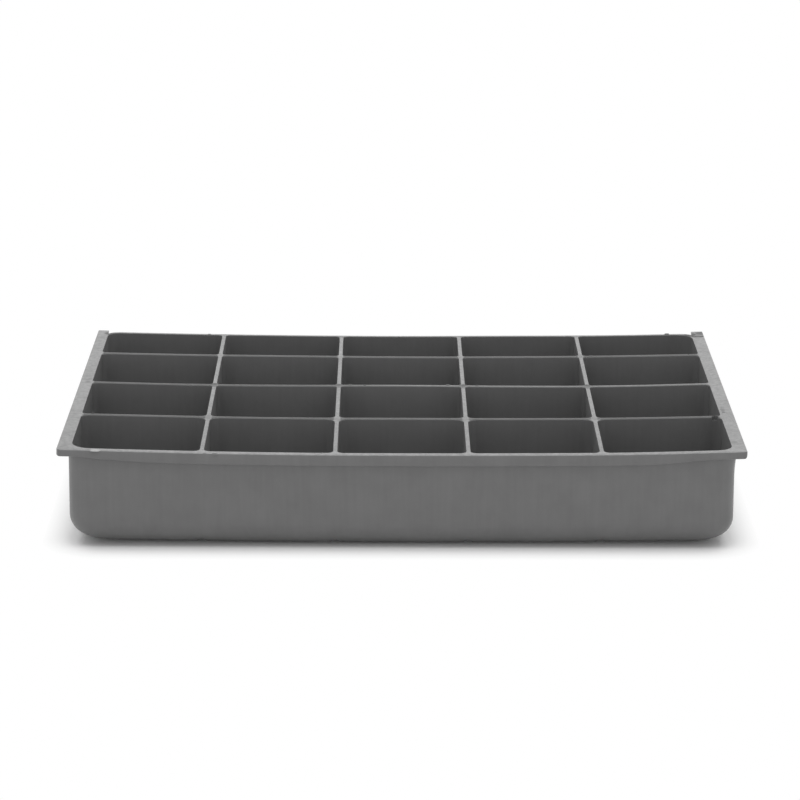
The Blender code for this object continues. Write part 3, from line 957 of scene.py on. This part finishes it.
far = add_node(tree, "ShaderNodeMapRange", {
    "Value": away.outputs["Value"], "From Min": SHADOW_END, "From Max": WHITE_FROM,
    "To Min": LEAST_WHITE, "To Max": 1.0})
white_share = add_node(tree, "ShaderNodeMath", {
    0: seen_outright(tree).outputs[0], 1: far.outputs[0]}, operation="MULTIPLY")
white = add_node(tree, "ShaderNodeEmission", {"Color": linear(WHITE), "Strength": 1.0})
sheet = add_node(tree, "ShaderNodeMixShader", {
    0: white_share.outputs[0], 1: lit.outputs[0], 2: white.outputs[0]})
tree.links.new(sheet.outputs[0], tree.nodes["Material Output"].inputs["Surface"])
ground.data.materials.append(paper)

# Light. A white tent all round, a soft box overhead and a little behind, which puts the shadow
# in front of the foot, and a lit screen behind, which the tops of the walls reflect.
TENT = 0.58
world = bpy.data.worlds.new("light_tent")
bpy.context.scene.world = world
world.use_nodes = True
tree = world.node_tree
tent = tree.nodes["Background"]
tent.inputs["Color"].default_value = linear(WHITE)
tent.inputs["Strength"].default_value = TENT
white = add_node(tree, "ShaderNodeBackground", {"Color": linear(WHITE), "Strength": 1.0})
backdrop = add_node(tree, "ShaderNodeMixShader", {
    0: seen_outright(tree).outputs[0], 1: tent.outputs[0], 2: white.outputs[0]})
tree.links.new(backdrop.outputs[0], tree.nodes["World Output"].inputs["Surface"])


def soft_box(name, place, width, depth, power):
    """A rectangular lamp that faces the tray."""
    lamp = bpy.data.lights.new(name, "AREA")
    lamp.shape = "RECTANGLE"
    lamp.size = width
    lamp.size_y = depth
    lamp.energy = power
    holder = bpy.data.objects.new(name, lamp)
    bpy.context.collection.objects.link(holder)
    holder.location = place
    holder.rotation_euler = (-Vector(place)).to_track_quat("-Z", "Y").to_euler()


soft_box("overhead_box", place=(0, 0.05, 2.0), width=2.6, depth=2.2, power=40)
soft_box("rear_screen", place=(0, 3.0, 1.1), width=4.0, depth=1.2, power=6)

# Camera. It stands in front and above with a long lens, as in the photograph, and is turned
# and rolled by a fraction of a degree. Its place and angles follow from the tray's own lines.
SENSOR = 36
FOCAL_LENGTH = 143.88
STANDPOINT = Vector((-0.00787, -1.59784, 0.50197))
DOWN = math.radians(15.988)
TURN = math.radians(0.264)
ROLL = math.radians(0.233)

lens = bpy.data.cameras.new("camera")
lens.sensor_width = SENSOR
lens.lens = FOCAL_LENGTH
camera = bpy.data.objects.new("camera", lens)
bpy.context.collection.objects.link(camera)
forward = Vector((math.sin(TURN) * math.cos(DOWN), math.cos(TURN) * math.cos(DOWN),
                  -math.sin(DOWN)))
right = Vector((math.cos(TURN), -math.sin(TURN), 0))
up = right.cross(forward)
rolled_right = math.cos(ROLL) * right + math.sin(ROLL) * up
rolled_up = -math.sin(ROLL) * right + math.cos(ROLL) * up
camera.matrix_world = Matrix((
    (rolled_right.x, rolled_up.x, -forward.x, STANDPOINT.x),
    (rolled_right.y, rolled_up.y, -forward.y, STANDPOINT.y),
    (rolled_right.z, rolled_up.z, -forward.z, STANDPOINT.z),
    (0, 0, 0, 1),
))
bpy.context.scene.camera = camera
bpy.context.scene.view_settings.view_transform = "Standard"
